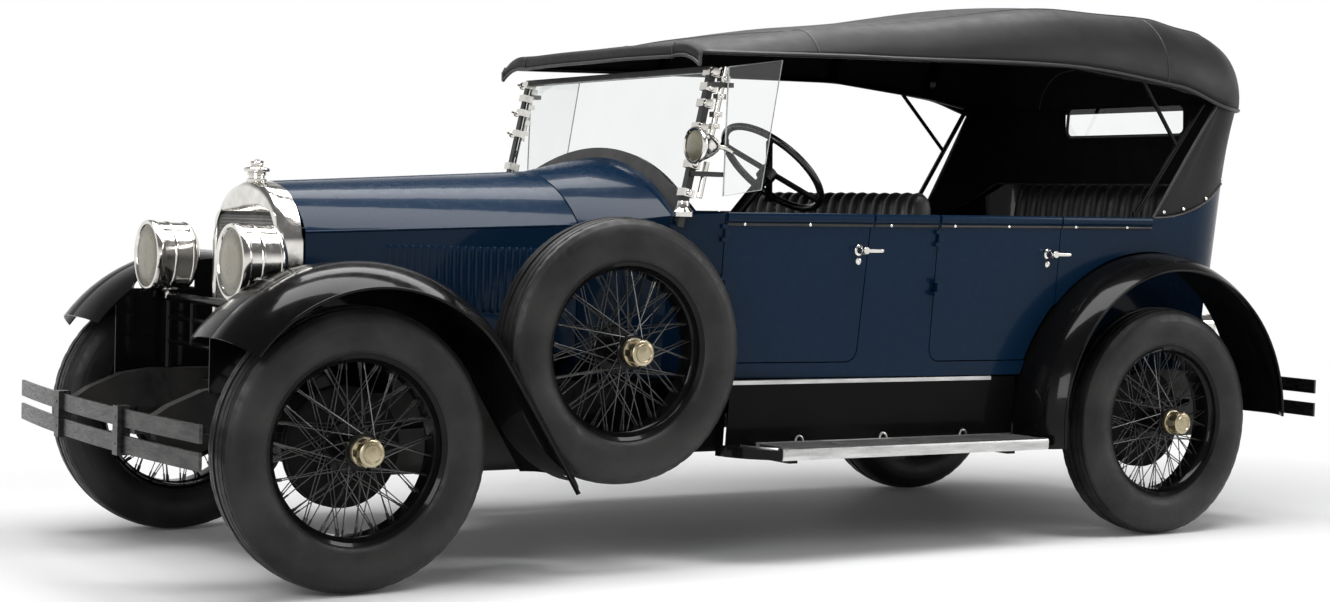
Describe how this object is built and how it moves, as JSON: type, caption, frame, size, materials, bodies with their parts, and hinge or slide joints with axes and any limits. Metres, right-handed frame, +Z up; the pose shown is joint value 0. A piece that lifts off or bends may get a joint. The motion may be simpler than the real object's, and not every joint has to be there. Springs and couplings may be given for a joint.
{
  "type": "touring car",
  "caption": "Open 1920s touring car: hinged doors and hood panels, steered front and free-rolling wire wheels, fabric top, side-mounted spare wheels.",
  "frame": {"origin": "on the ground, on the centre plane, midway between the bumper faces", "axes": "+X forward, +Y to the car's left, +Z up"},
  "size_m": [4.763, 1.797, 2.0117],
  "materials": {
    "paint_blue": "gloss",
    "paint_black": "gloss",
    "chassis_black": "satin",
    "engine_iron": "rough",
    "nickel": "polished",
    "bumper_steel": "worn",
    "core_metal": "matte",
    "lens_glass": "frosted",
    "clear_glass": "clear",
    "board_aluminium": "satin",
    "top_cloth": "coated cloth",
    "black_leather": "soft sheen",
    "tyre_rubber": "matte"
  },
  "bodies": {
    "car": {"body_tub": "paint_blue", "cowl": "paint_blue", "front_fenders": "paint_black", "rear_fenders": "paint_black", "splash_aprons": "paint_black", "lamp_bar": "paint_black", "spare_wheels": "paint_black", "spare_carriers": "paint_black", "steering_column": "paint_black", "chassis_frame": "chassis_black", "leaf_springs": "chassis_black", "front_axle": "chassis_black", "rear_axle": "chassis_black", "exhaust": "chassis_black", "fuel_tank": "chassis_black", "top_bows": "chassis_black", "engine": "engine_iron", "radiator_surround": "nickel", "headlamps": "nickel", "windscreen_frame": "nickel", "spot_lamp": "nickel", "tail_lamp": "nickel", "front_bumper": "bumper_steel", "rear_bumper": "bumper_steel", "radiator_core": "core_metal", "headlamp_lenses": "lens_glass", "windscreen_glass": "clear_glass", "wind_wings": "clear_glass", "rear_window": "clear_glass", "running_boards": "board_aluminium", "top_cover": "top_cloth", "front_seat": "black_leather", "rear_seat": "black_leather", "spare_tyres": "tyre_rubber"},
    "knuckle_left": {"knuckle_left": "chassis_black"},
    "knuckle_right": {"knuckle_right": "chassis_black"},
    "tie_rod": {"tie_rod": "chassis_black"},
    "steering_wheel": {"steering_wheel": "paint_black"},
    "door_front_left": {"door_front_left": "paint_blue"},
    "door_front_right": {"door_front_right": "paint_blue"},
    "door_rear_left": {"door_rear_left": "paint_blue"},
    "door_rear_right": {"door_rear_right": "paint_blue"},
    "hood_top_left": {"hood_top_left": "paint_blue"},
    "hood_top_right": {"hood_top_right": "paint_blue"},
    "hood_side_left": {"hood_side_left": "paint_blue"},
    "hood_side_right": {"hood_side_right": "paint_blue"},
    "road_wheel_front_left": {"tyre_front_left": "tyre_rubber", "wheel_front_left": "paint_black"},
    "road_wheel_front_right": {"tyre_front_right": "tyre_rubber", "wheel_front_right": "paint_black"},
    "road_wheel_rear_left": {"tyre_rear_left": "tyre_rubber", "wheel_rear_left": "paint_black"},
    "road_wheel_rear_right": {"tyre_rear_right": "tyre_rubber", "wheel_rear_right": "paint_black"}
  },
  "joints": [
    {"name": "steer_left", "type": "hinge", "parent": "car", "child": "knuckle_left", "pos_m": [1.8115, 0.6005, 0.432], "axis": [0, 0, 1], "range_deg": [-28, 28]},
    {"name": "steer_right", "type": "hinge", "parent": "car", "child": "knuckle_right", "pos_m": [1.8115, -0.6005, 0.432], "axis": [0, 0, 1], "range_deg": [-28.5, 28.5]},
    {"name": "tie_rod_slide", "type": "slide", "parent": "car", "child": "tie_rod", "axis": [0, 1, 0], "range_m": [-0.0745, 0.0745]},
    {"name": "steering_wheel_turn", "type": "hinge", "parent": "car", "child": "steering_wheel", "pos_m": [0.0195, 0.36, 1.34], "axis": [-0.6739, 0, 0.7389], "range_deg": [-425, 425]},
    {"name": "spin_front_left", "type": "hinge", "parent": "knuckle_left", "child": "road_wheel_front_left", "pos_m": [1.8115, 0.7365, 0.432], "axis": [0, 1, 0], "continuous": true},
    {"name": "spin_rear_left", "type": "hinge", "parent": "car", "child": "road_wheel_rear_left", "pos_m": [-1.5415, 0.7365, 0.432], "axis": [0, 1, 0], "continuous": true},
    {"name": "front_door_left", "type": "hinge", "parent": "car", "child": "door_front_left", "pos_m": [0.4095, 0.647, 0.9], "axis": [0, 0, -1], "range_deg": [0, 70]},
    {"name": "rear_door_left", "type": "hinge", "parent": "car", "child": "door_rear_left", "pos_m": [-0.4795, 0.699, 0.9], "axis": [0, 0, -1], "range_deg": [0, 70]},
    {"name": "hood_left", "type": "hinge", "parent": "car", "child": "hood_top_left", "pos_m": [1.7815, 0, 1.2295], "axis": [0.9977, 0, -0.068], "range_deg": [0, 45]},
    {"name": "hood_flap_left", "type": "hinge", "parent": "hood_top_left", "child": "hood_side_left", "pos_m": [1.7815, 0.3025, 1.073], "axis": [0.9938, -0.1005, -0.0476], "range_deg": [-45.5, 0.5]},
    {"name": "spin_front_right", "type": "hinge", "parent": "knuckle_right", "child": "road_wheel_front_right", "pos_m": [1.8115, -0.7365, 0.432], "axis": [0, 1, 0], "continuous": true},
    {"name": "spin_rear_right", "type": "hinge", "parent": "car", "child": "road_wheel_rear_right", "pos_m": [-1.5415, -0.7365, 0.432], "axis": [0, 1, 0], "continuous": true},
    {"name": "front_door_right", "type": "hinge", "parent": "car", "child": "door_front_right", "pos_m": [0.4095, -0.647, 0.9], "axis": [0, 0, 1], "range_deg": [0, 70]},
    {"name": "rear_door_right", "type": "hinge", "parent": "car", "child": "door_rear_right", "pos_m": [-0.4795, -0.699, 0.9], "axis": [0, 0, 1], "range_deg": [0, 70]},
    {"name": "hood_right", "type": "hinge", "parent": "car", "child": "hood_top_right", "pos_m": [1.7815, 0, 1.2295], "axis": [-0.9977, 0, 0.068], "range_deg": [0, 45]},
    {"name": "hood_flap_right", "type": "hinge", "parent": "hood_top_right", "child": "hood_side_right", "pos_m": [1.7815, -0.3025, 1.073], "axis": [-0.9938, -0.1005, 0.0476], "range_deg": [-45.5, 0.5]}
  ],
  "couplings": [
    {"joint": "steer_right", "follows": "steer_left", "ratio": 1},
    {"joint": "tie_rod_slide", "follows": "steer_left", "m_per_rad": -0.15},
    {"joint": "steering_wheel_turn", "follows": "steer_left", "ratio": 15},
    {"joint": "hood_flap_left", "follows": "hood_left", "ratio": -1},
    {"joint": "hood_flap_right", "follows": "hood_right", "ratio": -1}
  ]
}
